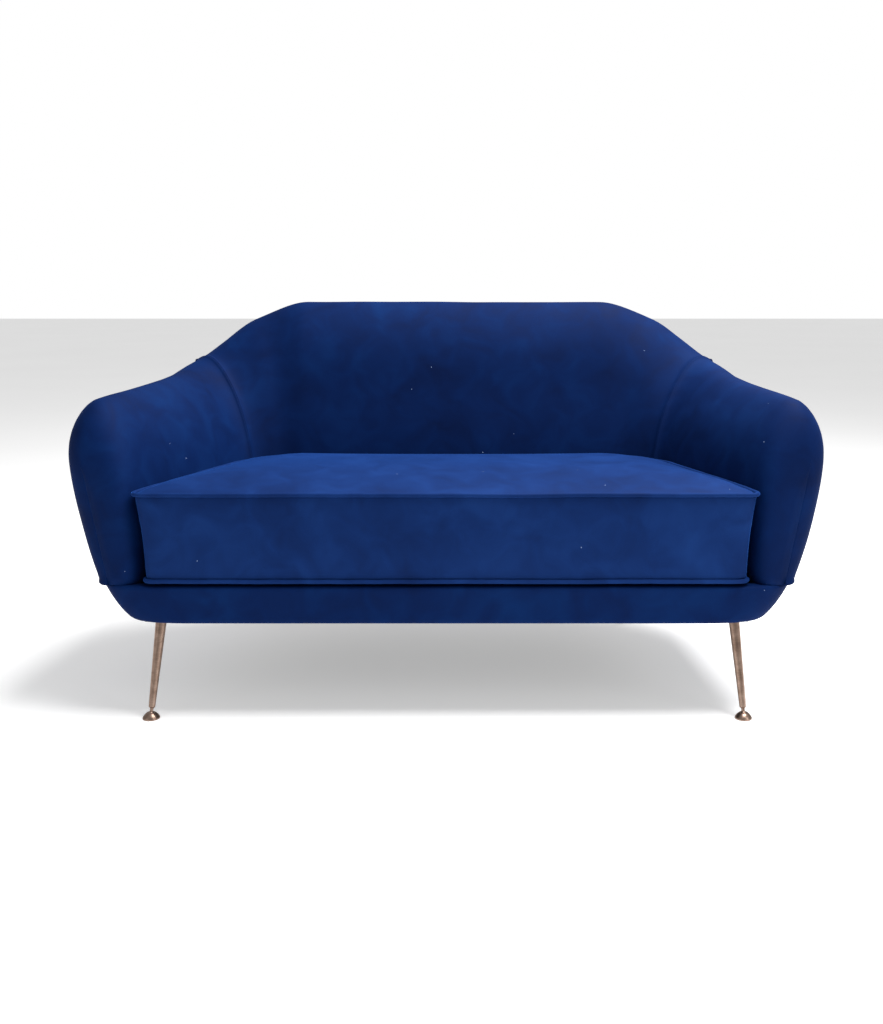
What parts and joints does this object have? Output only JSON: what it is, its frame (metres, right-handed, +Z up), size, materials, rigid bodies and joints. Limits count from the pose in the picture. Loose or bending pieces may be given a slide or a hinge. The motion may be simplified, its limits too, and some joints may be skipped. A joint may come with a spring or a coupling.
{
  "type": "two-seat sofa",
  "caption": "Curved, fully upholstered two-seat sofa with wrap-round arms, a loose piped seat cushion and slim splayed metal legs on swivel feet.",
  "frame": {"origin": "on the floor, under the middle of the sofa's overall box", "axes": "+X to the right seen from the front, the front faces -Y, +Z up"},
  "size_m": [1.4684, 0.7499, 0.806],
  "materials": {
    "velvet": "short-pile blue velvet",
    "velvet_cushion": "short-pile blue velvet, cushion cover",
    "foam": "open-cell upholstery foam",
    "beech": "sawn and planed, unfinished",
    "webbing": "woven elastic webbing",
    "cambric": "thin black spun cloth",
    "zip_tape": "woven tape with a nylon coil",
    "bronzed_brass": "brushed, dulled to a warm bronze",
    "zinc_steel": "bright zinc plated"
  },
  "bodies": {
    "frame": {"arm_foam_left": "foam", "arm_foam_right": "foam", "arm_post_left": "beech", "arm_post_right": "beech", "arm_rail_left": "beech", "arm_rail_right": "beech", "back_foam": "foam", "back_leg_left": "bronzed_brass", "back_leg_right": "bronzed_brass", "back_rail": "beech", "back_straps": "webbing", "back_tack_rail": "beech", "back_upright_left": "beech", "back_upright_right": "beech", "border_cover": "velvet", "border_foam": "foam", "centre_stretcher": "beech", "corner_post_left": "beech", "corner_post_right": "beech", "corner_rail_left": "beech", "corner_rail_right": "beech", "crest_rail": "beech", "deck_cloth": "cambric", "deck_pad": "foam", "dust_cover": "cambric", "front_leg_left": "bronzed_brass", "front_leg_right": "bronzed_brass", "front_rail": "beech", "inside_arm_cover_left": "velvet", "inside_arm_cover_right": "velvet", "inside_back_cover": "velvet", "leg_blocks": "beech", "leg_plates": "zinc_steel", "outside_arm_cover_left": "velvet", "outside_arm_cover_right": "velvet", "outside_back_cover": "velvet", "plate_screws": "zinc_steel", "seat_straps_cross": "webbing", "seat_straps_long": "webbing", "shoulder_rail_left": "beech", "shoulder_rail_right": "beech", "side_rail_left": "beech", "side_rail_right": "beech", "staples": "zinc_steel"},
    "cushion": {"cushion_top": "velvet_cushion", "cushion_border": "velvet_cushion", "cushion_underside": "velvet_cushion", "cushion_foam": "foam", "piping_top": "velvet_cushion", "piping_bottom": "velvet_cushion", "zip_tape": "zip_tape"},
    "zip_slider": {"zip_slider": "zinc_steel"},
    "front_foot_right": {"front_foot_right": "bronzed_brass"},
    "front_foot_left": {"front_foot_left": "bronzed_brass"},
    "back_foot_right": {"back_foot_right": "bronzed_brass"},
    "back_foot_left": {"back_foot_left": "bronzed_brass"}
  },
  "joints": [
    {"name": "cushion_lift", "type": "slide", "parent": "frame", "child": "cushion", "axis": [0, 0, 1], "range_m": [0, 0.35]},
    {"name": "zip_slide", "type": "slide", "parent": "cushion", "child": "zip_slider", "axis": [1, 0, 0], "range_m": [0, 0.64]},
    {"name": "front_foot_tilt_right", "type": "hinge", "parent": "frame", "child": "front_foot_right", "pos_m": [0.59, -0.356, 0.009], "axis": [-0.9538, -0.3003, 0], "range_deg": [-8, 8]},
    {"name": "front_foot_tilt_left", "type": "hinge", "parent": "frame", "child": "front_foot_left", "pos_m": [-0.59, -0.356, 0.009], "axis": [-0.9538, 0.3003, 0], "range_deg": [-8, 8]},
    {"name": "back_foot_tilt_right", "type": "hinge", "parent": "frame", "child": "back_foot_right", "pos_m": [0.444, 0.312, 0.009], "axis": [0.9708, -0.2397, 0], "range_deg": [-8, 8]},
    {"name": "back_foot_tilt_left", "type": "hinge", "parent": "frame", "child": "back_foot_left", "pos_m": [-0.444, 0.312, 0.009], "axis": [0.9708, 0.2397, 0], "range_deg": [-8, 8]}
  ]
}
